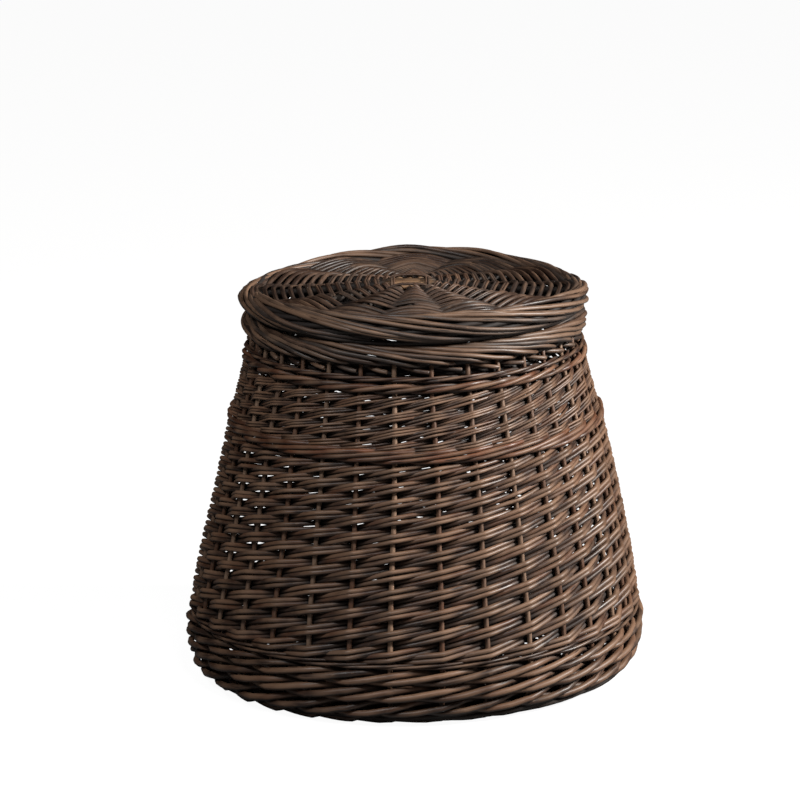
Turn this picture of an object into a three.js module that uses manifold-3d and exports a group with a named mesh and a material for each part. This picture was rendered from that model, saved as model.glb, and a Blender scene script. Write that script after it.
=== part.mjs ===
// Round lidded laundry basket woven from willow rods.
// Millimetres, +Z up. The origin is on the floor under the middle of the basket, and the front faces -Y.
// A base cross carries thirty-two side stakes. They turn up through the foot wale, pass through every
// woven band of the wall and end in the rim border. The lid is a second, smaller base cross with its own
// weave and border, and it rests loose on the rim.
import * as THREE from 'three';
import Module from 'manifold-3d';
import { mergeVertices } from 'three/addons/utils/BufferGeometryUtils.js';

const wasm = await Module();
wasm.setup();

// Driving sizes
const clearance = 0.3; // left between pieces that touch on the real basket
const ringSides = 32; // facets round each woven ring
const rodSides = 6; // facets round each rod
const rimCorners = 8; // facets round the border's section
const lidCorners = 12; // facets round the section of the lid's border
const fullness = 0.8; // of a rounded outline: 1 is an ellipse, and less is squarer

const baseArmCount = 16;
const stakesPerArm = 2;
const stakeDiameter = 6;
const baseRadius = 206; // the woven base ends here and the stakes turn up
const baseLevel = 11; // height of the base sticks' centre lines
const socketDepth = 36; // length of stake pushed into the base
const footFlare = 34.3; // the stakes' circle widens by this from there to the widest place
const lowerTaper = 43.8; // narrows by this up to the middle band
const upperTaper = 18; // by this up to the top band
const rimTaper = 4; // and by this up to the tops of the stakes
const wallBow = 2.5; // how far the lower wall bows out of straight

const turnHeight = 54; // the stakes stand upright from here
const footWaleRise = 8; // the foot wale ends this far above the turn
const capRowHeight = 9.5; // the row of thin rods over the foot wale
const lowerSidingHeight = 199.4;
const waleHeight = 20; // the middle and top bands
const upperSidingHeight = 51.9;
const pegGap = 4; // bare stakes between the top band and the border
const rimHeight = 29;
const stakeInBorder = 16; // length of stake inside the border

const footRod = 6.8;
const footRingWidth = 16; // flat ring that stands on the floor
const footBevel = 7;
const capRod = 3.5;
const lowerRod = 5; // the siding rods taper as they climb, from this
const lowerRodTip = 4.2; // to this
const waleRod = 5.5;
const waleBulge = 1.2;
const upperRod = 3.5;
const lowerLayers = 22; // layers of rods in the lower siding
const upperLayers = 8;
const lowerShrink = 0.67; // height of the last layer as a share of the first, as the rods taper
const upperShrink = 1;
const weaveCover = 1; // left over a stake or an arm where the rods pass on its other side
const rimHalfWidth = 10.2;

const baseStickDiameter = 9;
const baseWeaver = 3;
const baseEyeRadius = 28; // open middle of the base weave, where the sticks cross
const baseStickInset = 6; // the sticks end this far inside the base weave

const lidArmsPerSide = 3;
const lidStickDiameter = 10;
const lidStickTip = 8;
const lidCrownRise = 26.2; // height of the sticks' centre lines over the lid's underside, in its middle
const lidDrop = 14; // the lid falls this much from its middle to the border
const lidEyeRadius = 24;
const lidInnerWeaver = 3;
const lidOuterWeaver = 4.8;
const lidOuterWidth = 54; // width of the weave of thick rods; thin ones fill the middle
const lidOuterLanes = 11; // thick rods side by side in it
const lidBorderWidth = 32.6;
const lidBorderHeight = 33.7;
const lidOverhang = 6; // the lid reaches this far past the rim border
const lidStickEngagement = 13; // length of stick held in the lid's border

const slitHeight = 4; // flattened thickness of a stick where it goes through a slit
const straightPast = 0.4; // of a stick's thickness, kept straight beyond the crossing
const armSpread = 1.75; // the arms are fully spread at this many times the straight length

const stakeCount = baseArmCount * stakesPerArm;
const stakeRadius = stakeDiameter / 2;
const fullTurn = Math.PI * 2;

const bellyRadius = baseRadius + footFlare;
const midRadius = bellyRadius - lowerTaper;
const neckRadius = midRadius - upperTaper;
const rimRadius = neckRadius - rimTaper;

const footWaleTop = turnHeight + footWaleRise;
const capRowTop = footWaleTop + capRowHeight;
const lowerSidingBottom = capRowTop + clearance;
const lowerSidingTop = lowerSidingBottom + lowerSidingHeight;
const midWaleBottom = lowerSidingTop + clearance;
const midWaleTop = midWaleBottom + waleHeight;
const upperSidingBottom = midWaleTop + clearance;
const upperSidingTop = upperSidingBottom + upperSidingHeight;
const topWaleBottom = upperSidingTop + clearance;
const topWaleTop = topWaleBottom + waleHeight;
const rimBottom = topWaleTop + pegGap;
const rimTop = rimBottom + rimHeight;
const stakeTop = rimBottom + stakeInBorder;
const midWaleHeight = (midWaleBottom + midWaleTop) / 2;
const topWaleHeight = (topWaleBottom + topWaleTop) / 2;

// Solids

function solidOf(geometry) {
  const bare = geometry.index ? geometry.toNonIndexed() : geometry.clone();
  bare.deleteAttribute('normal');
  bare.deleteAttribute('uv');
  const merged = mergeVertices(bare, 1e-4);
  return new wasm.Manifold(
    new wasm.Mesh({
      numProp: 3,
      vertProperties: new Float32Array(merged.attributes.position.array),
      triVerts: new Uint32Array(merged.index.array),
    }),
  );
}

function geometryOf(solid) {
  const mesh = solid.getMesh();
  const geometry = new THREE.BufferGeometry();
  geometry.setAttribute('position', new THREE.BufferAttribute(new Float32Array(mesh.vertProperties), 3));
  geometry.setIndex(new THREE.BufferAttribute(new Uint32Array(mesh.triVerts), 1));
  geometry.computeVertexNormals();
  return geometry;
}

// A closed profile of [radius, height] points, anticlockwise, turned about the Z axis.
function ring(profile) {
  const points = profile.map(([radius, height]) => new THREE.Vector2(radius, height));
  points.push(points[0].clone());
  const geometry = new THREE.LatheGeometry(points, ringSides);
  geometry.rotateX(Math.PI / 2);
  return solidOf(geometry);
}

// A closed ring through rows of points. Each row runs once round the Z axis, and the rows follow one another
// anticlockwise round the ring's section. rising tells the cells of a column which way they fold.
function rowRing(rows, rising) {
  const columns = rows[0].length;
  const faces = [];
  rows.forEach((row, i) => {
    const low = i * columns;
    const high = ((i + 1) % rows.length) * columns;
    for (let column = 0; column < columns; column++) {
      const next = (column + 1) % columns;
      const [a, b, c, d] = [low + column, low + next, high + next, high + column];
      faces.push(...(rising(column) ? [a, b, c, a, c, d] : [a, b, d, b, c, d]));
    }
  });
  const geometry = new THREE.BufferGeometry();
  const positions = rows.flat().flatMap((point) => point.toArray());
  geometry.setAttribute('position', new THREE.Float32BufferAttribute(positions, 3));
  geometry.setIndex(faces);
  return solidOf(geometry);
}

// A closed rod through the points, with one radius for each point. across is square to the rod's plane,
// and phase turns the section by that part of a side.
function rod(points, radii, across, sides, phase = 0) {
  const positions = [];
  const corner = new THREE.Vector3();
  points.forEach((point, i) => {
    const before = points[Math.max(i - 1, 0)];
    const after = points[Math.min(i + 1, points.length - 1)];
    const along = after.clone().sub(before).normalize();
    const side = across.clone().addScaledVector(along, -across.dot(along)).normalize();
    const up = along.clone().cross(side);
    for (let k = 0; k < sides; k++) {
      const angle = ((k + phase) / sides) * fullTurn;
      corner.copy(point);
      corner.addScaledVector(side, Math.cos(angle) * radii[i]);
      corner.addScaledVector(up, Math.sin(angle) * radii[i]);
      positions.push(corner.x, corner.y, corner.z);
    }
  });
  const faces = [];
  const last = (points.length - 1) * sides;
  for (let i = 0; i < points.length - 1; i++) {
    for (let k = 0; k < sides; k++) {
      const a = i * sides + k;
      const b = i * sides + ((k + 1) % sides);
      faces.push(a, b, a + sides, b, b + sides, a + sides);
    }
  }
  for (let k = 1; k < sides - 1; k++) {
    faces.push(0, k + 1, k);
    faces.push(last, last + k, last + k + 1);
  }
  const geometry = new THREE.BufferGeometry();
  geometry.setAttribute('position', new THREE.Float32BufferAttribute(positions, 3));
  geometry.setIndex(faces);
  return geometry;
}

function box(width, depth, height, x, y, z) {
  return solidOf(new THREE.BoxGeometry(width, depth, height).translate(x, y, z));
}

// A full oval section, [radius, height] points, for a rolled border.
function ovalSection(radius, height, halfWidth, halfHeight, corners) {
  return Array.from({ length: corners }, (_, i) => {
    const angle = (i / corners) * fullTurn;
    const cos = Math.cos(angle);
    const sin = Math.sin(angle);
    return [
      radius + halfWidth * Math.sign(cos) * Math.abs(cos) ** fullness,
      height + halfHeight * Math.sign(sin) * Math.abs(sin) ** fullness,
    ];
  });
}

const lerp = THREE.MathUtils.lerp;
const basket = new THREE.Group();

function addPiece(name, solid, colour, roughness = 0.5) {
  const geometry = solid.isBufferGeometry ? solid : geometryOf(solid);
  const material = new THREE.MeshStandardMaterial({ color: colour, roughness, metalness: 0 });
  const mesh = new THREE.Mesh(geometry, material);
  mesh.name = name;
  basket.add(mesh);
}

const stakeColour = 0x4a382f;
const weaveColour = 0x4b3a32;
const waleColour = 0x5a3f33;
const stickColour = 0x7c5a40;

// Side stakes: one line of [radius, height] points, turned round the basket.

const turnSteps = [1 / 3, 2 / 3, 1].map((step) => (step * Math.PI) / 2);
const bow = (part) => Math.abs(part) ** fullness;
const stakeLine = [
  [baseRadius - socketDepth, baseLevel],
  [baseRadius, baseLevel],
  ...turnSteps.map((angle) => [
    lerp(baseRadius, bellyRadius, bow(Math.sin(angle))),
    lerp(turnHeight, baseLevel, bow(Math.cos(angle))),
  ]),
  [(bellyRadius + midRadius) / 2 + wallBow, (turnHeight + midWaleHeight) / 2],
  [midRadius, midWaleHeight],
  [neckRadius, topWaleHeight],
  [rimRadius, stakeTop],
];

function stakeCircle(height) {
  const upright = stakeLine.slice(1 + turnSteps.length);
  const next = Math.max(1, upright.findIndex(([, z]) => z >= height));
  const [lowRadius, low] = upright[next - 1];
  const [highRadius, high] = upright[next];
  return lerp(lowRadius, highRadius, (height - low) / (high - low));
}

// The stake's line, with both ends moved outwards by extra.
function stakeGeometry(index, radius, extra, sides, phase) {
  const angle = ((index + 0.5) / stakeCount) * fullTurn - Math.PI / 2;
  const outward = new THREE.Vector3(Math.cos(angle), Math.sin(angle), 0);
  const across = new THREE.Vector3(-outward.y, outward.x, 0);
  const line = stakeLine.map(([r, z]) => outward.clone().multiplyScalar(r).setZ(z));
  line[0].addScaledVector(outward, -extra);
  line[line.length - 1].z += extra;
  return rod(line, line.map(() => radius), across, sides, phase);
}

// The weave leaves a square way past each stake.
const channelRadius = (stakeRadius + clearance) * Math.SQRT2;
const stakeChannels = Array.from({ length: stakeCount }, (_, i) =>
  solidOf(stakeGeometry(i, channelRadius, clearance, 4, 0.5)),
).reduce((all, channel) => all.add(channel));

for (let i = 0; i < stakeCount; i++) {
  const name = `side_stake_${String(i + 1).padStart(2, '0')}`;
  addPiece(name, stakeGeometry(i, stakeRadius, 0, rodSides, 0), stakeColour);
}

// Crossed sticks: one group pierced by the other, spread into even arms round the middle.

// armHeight and armRadius give a stick's height and thickness at a distance from the middle.
function crossedSticks(shape) {
  const { perSide, diameter, reach, twist, armHeight, armRadius } = shape;
  const spacing = diameter + clearance;
  const slathHalf = (perSide * spacing) / 2 + clearance / 2;
  const straight = slathHalf + diameter * straightPast;
  const spread = straight * armSpread;
  const middle = (perSide - 1) / 2;
  const turn = new THREE.Matrix4();

  function stick(index, through, extraRadius, extraReach) {
    const offset = (index - middle) * spacing;
    const angle = ((index - middle) / perSide) * (Math.PI / 2);
    const arm = [];
    for (const distance of [spread, (spread + reach) / 2, reach + extraReach]) {
      arm.push([distance * Math.cos(angle), distance * Math.sin(angle), distance]);
    }
    const half = [[straight, offset, straight], ...arm];
    const whole = [...half.map(([x, y, d]) => [-x, y, d]).reverse(), ...half];
    const points = whole.map(([x, y, d]) => new THREE.Vector3(x, y, armHeight(d)));
    const radii = whole.map(([, , d]) => armRadius(d) + extraRadius);
    const geometry = rod(points, radii, new THREE.Vector3(0, 0, 1), rodSides);
    turn.makeRotationZ(twist + (through ? Math.PI / 2 : 0));
    return { geometry, offset, matrix: turn.clone() };
  }

  function solid(index, through) {
    const { geometry, offset, matrix } = stick(index, through, 0, 0);
    const level = armHeight(0);
    let made = solidOf(geometry);
    if (through) {
      for (const side of [-1, 1]) {
        const height = side * (slitHeight / 2 + diameter / 2);
        made = made.subtract(box(slathHalf * 2, diameter + 1, diameter, 0, offset, level + height));
      }
    } else {
      const slit = slitHeight + clearance * 2;
      made = made.subtract(box(slathHalf * 2, diameter + 1, slit, 0, offset, level));
    }
    return solidOf(geometryOf(made).applyMatrix4(matrix));
  }

  function channels() {
    const widen = clearance / Math.cos(Math.PI / rodSides);
    let all = null;
    for (const through of [false, true]) {
      for (let i = 0; i < perSide; i++) {
        const { geometry, matrix } = stick(i, through, widen, clearance);
        const one = solidOf(geometry.applyMatrix4(matrix));
        all = all ? all.add(one) : one;
      }
    }
    return all;
  }

  return { solid, channels };
}

// Base

const baseSticks = crossedSticks({
  perSide: baseArmCount / 4,
  diameter: baseStickDiameter,
  reach: baseRadius - baseStickInset,
  twist: Math.PI / baseArmCount,
  armHeight: () => baseLevel,
  armRadius: () => baseStickDiameter / 2,
});
for (let i = 0; i < baseArmCount / 4; i++) {
  addPiece(`base_pierced_stick_${i + 1}`, baseSticks.solid(i, false), stickColour);
  addPiece(`base_through_stick_${i + 1}`, baseSticks.solid(i, true), stickColour);
}

const baseHalf = baseStickDiameter / 2 + baseWeaver;
const baseTop = baseLevel + baseHalf;
const baseUnderside = baseLevel - baseHalf;
const baseWeave = ring([
  [baseEyeRadius, baseUnderside],
  [baseRadius, baseUnderside],
  [baseRadius, baseTop],
  [baseEyeRadius, baseTop],
]);
addPiece('base_weave', baseWeave.subtract(baseSticks.channels()).subtract(stakeChannels), weaveColour);

// Foot wale: it wraps the turn of the stakes and stands on a flat ring.

const footReach = stakeRadius + footRod;
const capReach = stakeRadius + capRod;
const footStart = baseRadius + clearance;
const turnPoints = stakeLine.slice(2, 2 + turnSteps.length);
const turnNormals = turnSteps.map((angle) => {
  const across = (turnHeight - baseLevel) * Math.sin(angle);
  const down = (bellyRadius - baseRadius) * Math.cos(angle);
  const length = Math.hypot(across, down);
  return [across / length, -down / length];
});
const footOuter = turnPoints.map(([r, z], i) => [
  r + turnNormals[i][0] * footReach,
  Math.max(z + turnNormals[i][1] * footReach, footBevel),
]);
const footInner = turnPoints.map(([r, z], i) => [
  r - turnNormals[i][0] * footReach,
  Math.max(z - turnNormals[i][1] * footReach, baseTop),
]);
const footWale = ring([
  [footStart, 0],
  [footStart + footRingWidth, 0],
  ...footOuter,
  [stakeCircle(footWaleTop) + footReach, footWaleTop],
  [stakeCircle(capRowTop) + capReach, capRowTop],
  [stakeCircle(capRowTop) - capReach, capRowTop],
  [stakeCircle(footWaleTop) - footReach, footWaleTop],
  ...footInner.reverse(),
  [footStart, baseTop],
]);
addPiece('foot_wale', footWale.subtract(stakeChannels), weaveColour);

// Wales: closed rings of the rods' outer shape, inside and outside the stakes.

function wale(bottom, top) {
  const levels = stakeLine.map(([, z]) => z).filter((z) => z > bottom && z < top);
  const heights = [bottom, ...levels, top];
  const outer = [];
  const inner = [];
  for (const z of heights) {
    const part = (z - bottom) / (top - bottom);
    const reach = stakeRadius + waleRod - waleBulge * (1 - Math.sin(part * Math.PI));
    outer.push([stakeCircle(z) + reach, z]);
    inner.push([stakeCircle(z) - reach, z]);
  }
  return ring([...outer, ...inner.reverse()]).subtract(stakeChannels);
}

addPiece('mid_wale', wale(midWaleBottom, midWaleTop), waleColour);
addPiece('top_wale', wale(topWaleBottom, topWaleTop), waleColour);

// Siding: every rod goes outside one stake and inside the next, and climbs one layer on the way. So the
// outer face swells over each stake in every other layer, and sinks between the stakes.

function siding(bottom, top, lowRod, highRod, layers, shrink) {
  // The even columns are at the stakes, and the odd ones between them are half a layer higher.
  const columns = stakeCount * 2;
  const partAt = (layer) => {
    const share = THREE.MathUtils.clamp(layer / layers, 0, 1);
    return (share * (2 - share * (1 - shrink))) / (1 + shrink);
  };
  const rowOf = (layer, reachAt) =>
    Array.from({ length: columns }, (_, column) => {
      const between = column % 2;
      const part = partAt(layer + (between - 0.5) / 2);
      const z = lerp(bottom, top, part);
      const radius = stakeCircle(z) + reachAt(lerp(lowRod, highRod, part), between);
      const angle = ((column + 1) / columns) * fullTurn - Math.PI / 2;
      return new THREE.Vector3(radius * Math.cos(angle), radius * Math.sin(angle), z);
    });
  const covered = stakeRadius + clearance + weaveCover;
  const sunk = (rodDiameter, between) => (between ? rodDiameter / 2 : covered);
  const swollen = (rodDiameter, between) => (between ? rodDiameter / 2 : stakeRadius + rodDiameter);
  const outer = [rowOf(-1, sunk)];
  for (let layer = 0; layer < layers; layer++) {
    outer.push(rowOf(layer + 0.5, layer % 2 ? sunk : swollen));
  }
  outer.push(rowOf(layers + 1, sunk));
  const inside = (rodDiameter) => -stakeRadius - rodDiameter;
  const inner = [layers + 1, layers / 2, -1].map((layer) => rowOf(layer, inside));
  return rowRing([...outer, ...inner], (column) => column % 2 === 1).subtract(stakeChannels);
}

const lowerShape = [lowerRod, lowerRodTip, lowerLayers, lowerShrink];
const upperShape = [upperRod, upperRod, upperLayers, upperShrink];
addPiece('lower_siding', siding(lowerSidingBottom, lowerSidingTop, ...lowerShape), weaveColour);
addPiece('upper_siding', siding(upperSidingBottom, upperSidingTop, ...upperShape), weaveColour);

// Rim border, which takes the tops of the stakes.

const rimMiddle = (rimBottom + rimTop) / 2;
const rimCentre = stakeCircle(rimMiddle);
const rimSection = ovalSection(rimCentre, rimMiddle, rimHalfWidth, rimHeight / 2, rimCorners);
addPiece('rim_border', ring(rimSection).subtract(stakeChannels), weaveColour);

// Lid

const lidBottom = rimTop + clearance;
const lidMiddle = lidBottom + lidBorderHeight / 2;
const lidRadius = rimCentre + rimHalfWidth + lidOverhang;
const lidBorderInner = lidRadius - lidBorderWidth;
const lidBorderCentre = lidRadius - lidBorderWidth / 2;
const lidWeaveRadius = lidBorderInner - clearance;
const lidWeaveSplit = lidWeaveRadius - lidOuterWidth;
const lidCrown = lidBottom + lidCrownRise;
const lidHeight = (distance) => lidCrown - lidDrop * (distance / lidWeaveRadius) ** 2;
const lidStickRadius = (distance) =>
  lerp(lidStickDiameter, lidStickTip, Math.min(distance / lidWeaveRadius, 1)) / 2;

const lidSticks = crossedSticks({
  perSide: lidArmsPerSide,
  diameter: lidStickDiameter,
  reach: lidBorderInner + lidStickEngagement,
  twist: 0,
  armHeight: lidHeight,
  armRadius: lidStickRadius,
});
for (let i = 0; i < lidArmsPerSide; i++) {
  addPiece(`lid_pierced_stick_${i + 1}`, lidSticks.solid(i, false), stickColour);
  addPiece(`lid_through_stick_${i + 1}`, lidSticks.solid(i, true), stickColour);
}
const lidChannels = lidSticks.channels();

function lidDisc(inner, outer, weaver) {
  const steps = [inner, (inner + outer) / 2, outer];
  const half = (r) => lidStickRadius(r) + weaver;
  const lower = steps.map((r) => [r, lidHeight(r) - half(r)]);
  const upper = steps.map((r) => [r, lidHeight(r) + half(r)]);
  return ring([...lower, ...upper.reverse()]).subtract(lidChannels);
}

addPiece('lid_centre_weave', lidDisc(lidEyeRadius, lidWeaveSplit, lidInnerWeaver), weaveColour);

// The outer weave: a rod passes over one arm and under the next, and the rods beside it the other way round.
function chasedDisc(inner, outer, weaver, lanes) {
  const stepsPerArm = 3;
  const columns = lidArmsPerSide * 4 * stepsPerArm;
  const first = inner / Math.cos(Math.PI / columns);
  const last = (outer + clearance) * Math.cos(Math.PI / ringSides) - clearance;
  const rowOf = (r, reachAt) =>
    Array.from({ length: columns }, (_, column) => {
      const angle = (column / columns) * fullTurn;
      const height = lidHeight(r) + reachAt(Math.floor(column / stepsPerArm), column % stepsPerArm);
      return new THREE.Vector3(r * Math.cos(angle), r * Math.sin(angle), height);
    });
  const coveredAt = (r) => rowOf(r, () => lidStickRadius(r) + clearance + weaveCover);
  const under = [first, (first + last) / 2, last].map((r) => rowOf(r, () => -lidStickRadius(r) - weaver));
  const over = [coveredAt(first)];
  for (let lane = 0; lane < lanes; lane++) {
    const r = lerp(first, last, (lane + 0.5) / lanes);
    const swing = lidStickRadius(r) + weaver / 2;
    const covered = lidStickRadius(r) + clearance + weaveCover;
    const reachAt = (arm, step) => {
      const way = (arm + lane) % 2 ? -1 : 1;
      const reach = way * swing * (1 - (2 * step) / stepsPerArm) + weaver / 2;
      return step ? reach : Math.max(reach, covered);
    };
    over.push(rowOf(r, reachAt));
  }
  over.push(coveredAt(last));
  return rowRing([...under, ...over.reverse()], () => true).subtract(lidChannels);
}

const outerShape = [lidWeaveSplit + clearance, lidWeaveRadius, lidOuterWeaver, lidOuterLanes];
addPiece('lid_outer_weave', chasedDisc(...outerShape), weaveColour);

const lidHalves = [lidBorderWidth / 2, lidBorderHeight / 2];
const lidSection = ovalSection(lidBorderCentre, lidMiddle, ...lidHalves, lidCorners);
addPiece('lid_border', ring(lidSection).subtract(lidChannels), waleColour);

export default basket;
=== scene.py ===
# Round laundry basket in dark willow, with a loose lid.
# Every rod is laid as a line along its own way through the weave, then made a round mesh.
import math
import random

import bmesh
import bpy
from mathutils import Matrix, Vector, noise


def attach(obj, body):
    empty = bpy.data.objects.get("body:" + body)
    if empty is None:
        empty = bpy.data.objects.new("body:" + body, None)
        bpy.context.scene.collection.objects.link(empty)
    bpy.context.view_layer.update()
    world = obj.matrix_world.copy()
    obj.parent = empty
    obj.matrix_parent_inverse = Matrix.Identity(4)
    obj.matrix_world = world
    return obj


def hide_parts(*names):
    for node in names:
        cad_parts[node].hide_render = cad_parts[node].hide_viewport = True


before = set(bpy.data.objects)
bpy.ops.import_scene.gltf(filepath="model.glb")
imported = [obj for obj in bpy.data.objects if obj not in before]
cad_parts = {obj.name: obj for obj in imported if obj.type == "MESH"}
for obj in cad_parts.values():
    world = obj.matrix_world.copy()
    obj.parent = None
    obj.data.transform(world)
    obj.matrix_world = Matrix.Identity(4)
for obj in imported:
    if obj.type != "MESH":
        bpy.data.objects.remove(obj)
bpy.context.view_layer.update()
print("frame loaded")

mm = 0.001
fullTurn = math.tau
dice = random.Random(12)

# sizes are millimetres and angles degrees, unless a note says otherwise
wall = {
    "stakes": 32,
    "stakeWidth": 6.0,
    "stakeTip": 5.2,
    "stakeTop": 377,
    "stakeSway": 1.6,
    # height and radius of the circle that the stakes stand on
    "line": [(54, 240.3), (110, 233.4), (168, 221.4), (281.5, 196.5), (354, 178.5), (384, 174.5)],
    # the bend from the base up into the wall
    "turn": {"radius": 206, "height": 11, "belly": 240.3, "top": 54, "fullness": 0.66},
    # the basket bulges a little to the right around this height, and tilts that way as a whole
    "lean": {"by": 2.0, "height": 210, "spread": 95, "tilt": 0.011},
    "footHeight": 60,
    "rimHeight": 370,
    # stakes that stand out of their even places, by their number from the front, in degrees
    # to the right, at the height of the foot and at the height of the rim
    "uneven": {
        0: (1.2, -0.1), 1: (1.8, 1.3), 2: (2.3, 1.4), 3: (2.1, 0.8), 4: (1.1, -0.3), 5: (1.1, 0.0),
        26: (0.4, -1.9), 27: (0.4, -2.2), 28: (0.2, -2.5), 29: (0.2, -2.5), 30: (0.0, -1.9),
        31: (-0.7, -1.3),
    },
}
stakeCount = wall["stakes"]
stakeStep = fullTurn / stakeCount
stakeShift = [wall["uneven"].get(i, (dice.uniform(-0.5, 0.5),) * 2) for i in range(stakeCount)]


def clamp(value, low=0.0, high=1.0):
    return max(low, min(high, value))


def mix(a, b, part):
    return a + (b - a) * part


def smoothLine(line, at):
    # a rounded curve through (place, value) pairs, straight on past its end
    if at <= line[0][0]:
        return line[0][1]
    if at >= line[-1][0]:
        (x0, y0), (x1, y1) = line[-2:]
        return y1 + (at - x1) * (y1 - y0) / (x1 - x0)
    i = next(i for i in range(len(line) - 1) if at <= line[i + 1][0])
    x0, y0 = line[i]
    x1, y1 = line[i + 1]
    before, after = line[max(i - 1, 0)], line[min(i + 2, len(line) - 1)]
    slopeA = (y1 - before[1]) / (x1 - before[0]) if i else 0.0
    slopeB = (after[1] - y0) / (after[0] - x0)
    t = (at - x0) / (x1 - x0)
    h = x1 - x0
    return (
        (2 * t**3 - 3 * t**2 + 1) * y0
        + (t**3 - 2 * t**2 + t) * h * slopeA
        + (3 * t**2 - 2 * t**3) * y1
        + (t**3 - t**2) * h * slopeB
    )


def stakeCircle(height):
    return smoothLine(wall["line"], height)


def wallAt(height):
    # radius and height on the stakes, then the directions square to the wall and along it
    low, high = stakeCircle(height - 4), stakeCircle(height + 4)
    slope = Vector((high - low, 8)).normalized()
    return stakeCircle(height), height, (slope[1], -slope[0]), (slope[0], slope[1])


def besideStake(width):
    # from the middle of a stake to the middle of a rod that lies on it
    return (wall["stakeWidth"] + width) / 2


def hump(distance, spread):
    # 1 in the middle of a soft hump, falling to nothing beyond its spread
    return math.exp(-((distance / spread) ** 2))


def awayFrom(angle, middle):
    # degrees from one direction to another, the shorter way round
    return (angle - middle + 180) % 360 - 180


def place(angle, radius, height):
    # angle runs to the right from the front, in radians; the rest is in millimetres
    lean = wall["lean"]
    aside = lean["by"] * hump(height - lean["height"], lean["spread"]) + lean["tilt"] * height
    return Vector((radius * math.sin(angle) + aside, -radius * math.cos(angle), height)) * mm


def placeAt(at, radius, height, aside=0.0):
    # the same for a place counted in stakes from the front
    rise = clamp((height - wall["footHeight"]) / (wall["rimHeight"] - wall["footHeight"]))
    first = math.floor(at)
    left, right = (mix(*stakeShift[i % stakeCount], rise) for i in (first, first + 1))
    angle = (at + 0.5) * stakeStep + math.radians(mix(left, right, at - first))
    return place(angle + aside / radius, radius, height)


def wander(seed, along, size):
    # slow, repeatable drift along a rod, so that no two lie alike
    return noise.noise(Vector((seed * 7.31, along, seed * 1.7))) * size


def rounded(distance, soft):
    # distance from a bend, with the bend rounded off
    return math.sqrt(distance**2 + soft**2) - soft


def zigzag(at, soft):
    # 1 at even numbers and -1 at odd ones, straight between them, with rounded turns
    near = round(at)
    height = 1 - rounded(at - near, soft) / rounded(0.5, soft)
    return height if near % 2 == 0 else -height


def bends(first, last, shares):
    # places along a rod: the same shares of every step from one whole number to the next
    places = [first]
    for step in range(math.floor(first), math.ceil(last)):
        places += [step + share for share in shares if first < step + share < last]
    return places + [last]


def softened(points):
    # cuts the corners of a line of points
    cut = [points[0]]
    for a, b in zip(points, points[1:]):
        cut += [a.lerp(b, 0.25), a.lerp(b, 0.75)]
    return cut + [points[-1]]


# Rods

# the edge of a cut end is just broken: how far it reaches past the rod, in metres,
# and its share of the rod's width
rodShape = {"sides": 8, "edge": 0.0007, "edgeShare": 0.78}


def rod(points, width, tip=None, tone=None, sunk=None):
    # width and tip are the diameters at the two ends in millimetres
    # sunk tells for each point how deep it lies in the weave, up to 1, or how far it stands out,
    # down to -1; deep points get painted shade, and points that stand out a paler colour,
    # as worn stain and painted highlight
    # tone is how the rod took the stain, from 0 for dark to 1 for pale
    tip = width if tip is None else tip
    last = len(points) - 1
    radii = [mix(width, tip, i / last) / 2 for i in range(last + 1)]
    sunk = sunk or [0.0] * (last + 1)
    edge, share = rodShape["edge"], rodShape["edgeShare"]
    head = points[0] + (points[0] - points[1]).normalized() * edge
    tail = points[-1] + (points[-1] - points[-2]).normalized() * edge
    return {
        "points": [head] + points + [tail],
        "radii": [radii[0] * share] + radii + [radii[-1] * share],
        "sunk": sunk[:1] + sunk + sunk[-1:],
        "tone": dice.betavariate(1.1, 1.1) if tone is None else tone,
        "hue": dice.random(),
        "seed": dice.random(),
    }


def laidRods(name, rods, material, body, nodes):
    # makes one piece of the rods and puts it in the place of its CAD nodes
    sides = rodShape["sides"]
    curve = bpy.data.curves.new(name, "CURVE")
    curve.dimensions = "3D"
    curve.bevel_depth = 1.0
    curve.bevel_resolution = sides // 2 - 2
    curve.twist_mode = "MINIMUM"
    for each in rods:
        spline = curve.splines.new("POLY")
        spline.points.add(len(each["points"]) - 1)
        for point, co, radius in zip(spline.points, each["points"], each["radii"]):
            point.co = (*co, 1)
            point.radius = radius * mm
    holder = bpy.data.objects.new(name + "Curve", curve)
    bpy.context.scene.collection.objects.link(holder)
    bpy.context.view_layer.update()
    mesh = bpy.data.meshes.new_from_object(holder)
    bpy.data.objects.remove(holder)
    mesh.name = name

    # the rod's own space: metres along it, then across it, with a start of its own for each rod
    space, traits = [], []
    for each in rods:
        run = each["seed"] * 40
        points = each["points"]
        for i, point in enumerate(points):
            if i:
                run += (point - points[i - 1]).length
            radius = each["radii"][i] * mm
            for k in range(sides):
                around = fullTurn * k / sides
                space += [run, radius * math.cos(around), radius * math.sin(around)]
                traits += [each["tone"], each["hue"], each["sunk"][i]]
    mesh.attributes.new("rodSpace", "FLOAT_VECTOR", "POINT").data.foreach_set("vector", space)
    mesh.attributes.new("rodTraits", "FLOAT_VECTOR", "POINT").data.foreach_set("vector", traits)

    bm = bmesh.new()
    bm.from_mesh(mesh)
    ends = [edge for edge in bm.edges if edge.is_boundary]
    for edge in ends:
        edge.smooth = False
    caps = bmesh.ops.holes_fill(bm, edges=ends, sides=sides)["faces"]
    for face in bm.faces:
        face.smooth = True
    for face in caps:
        face.smooth = False
    bmesh.ops.recalc_face_normals(bm, faces=bm.faces)
    bm.to_mesh(mesh)
    bm.free()
    mesh.materials.append(material)
    piece = bpy.data.objects.new(name, mesh)
    bpy.context.scene.collection.objects.link(piece)
    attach(piece, body)
    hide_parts(*nodes)


# where a hidden ring starts, in radians from the front, and how far its end passes its start; sunk gives its
# rods painted shade
hiddenRing = {"start": 2.2, "lap": 1.003, "steps": 96, "wander": 0.8, "tone": 0.2, "sunk": 0.8}


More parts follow.
